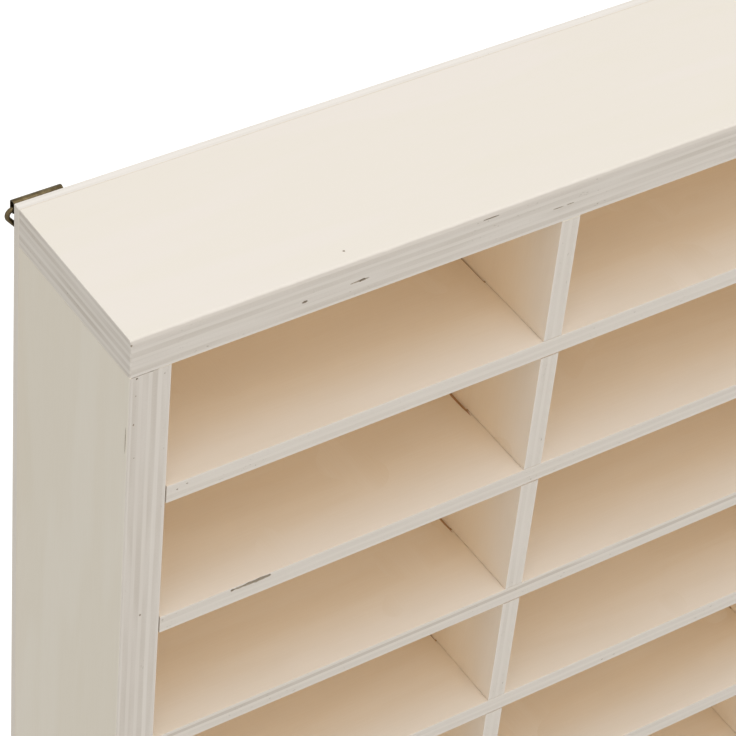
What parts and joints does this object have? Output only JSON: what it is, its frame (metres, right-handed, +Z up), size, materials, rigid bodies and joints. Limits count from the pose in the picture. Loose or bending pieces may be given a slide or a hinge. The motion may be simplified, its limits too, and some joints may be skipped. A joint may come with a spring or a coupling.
{
  "type": "collector display case",
  "caption": "Open-fronted plywood wall case with a grid of crossed shelves and dividers for small collectibles, and swinging ring hangers on its back.",
  "frame": {"origin": "middle of the case's underside, halfway between its front edges and the outer face of its back panel", "axes": "+Z up, -Y out of the open front, +Y to the wall, +X to the right as seen from the front"},
  "size_m": [0.3996, 0.0633, 0.41],
  "materials": {
    "birch_plywood": "bare sanded birch plywood",
    "antique_brass": "antique brass plating, darkened",
    "bright_steel": "bright steel wire"
  },
  "bodies": {
    "case": {"top_panel": "birch_plywood", "bottom_panel": "birch_plywood", "left_side": "birch_plywood", "right_side": "birch_plywood", "back_panel": "birch_plywood", "shelf_1": "birch_plywood", "shelf_2": "birch_plywood", "shelf_3": "birch_plywood", "shelf_4": "birch_plywood", "shelf_5": "birch_plywood", "shelf_6": "birch_plywood", "shelf_7": "birch_plywood", "divider_1": "birch_plywood", "divider_2": "birch_plywood", "left_hanger_strap": "antique_brass", "right_hanger_strap": "antique_brass", "left_hanger_screw": "antique_brass", "right_hanger_screw": "antique_brass", "top_brad_1": "bright_steel", "top_brad_2": "bright_steel", "top_brad_3": "bright_steel", "top_brad_4": "bright_steel", "bottom_brad_1": "bright_steel", "bottom_brad_2": "bright_steel", "bottom_brad_3": "bright_steel", "bottom_brad_4": "bright_steel", "left_brad_1": "bright_steel", "left_brad_2": "bright_steel", "left_brad_3": "bright_steel", "left_brad_4": "bright_steel", "right_brad_1": "bright_steel", "right_brad_2": "bright_steel", "right_brad_3": "bright_steel", "right_brad_4": "bright_steel"},
    "left_ring": {"left_hanger_ring": "antique_brass"},
    "right_ring": {"right_hanger_ring": "antique_brass"}
  },
  "joints": [
    {"name": "left_ring_swing", "type": "hinge", "parent": "case", "child": "left_ring", "pos_m": [-0.1904, 0.03175, 0.4068], "axis": [1, 0, 0], "range_deg": [0, 190]},
    {"name": "right_ring_swing", "type": "hinge", "parent": "case", "child": "right_ring", "pos_m": [0.1904, 0.03175, 0.4068], "axis": [1, 0, 0], "range_deg": [0, 190]}
  ]
}
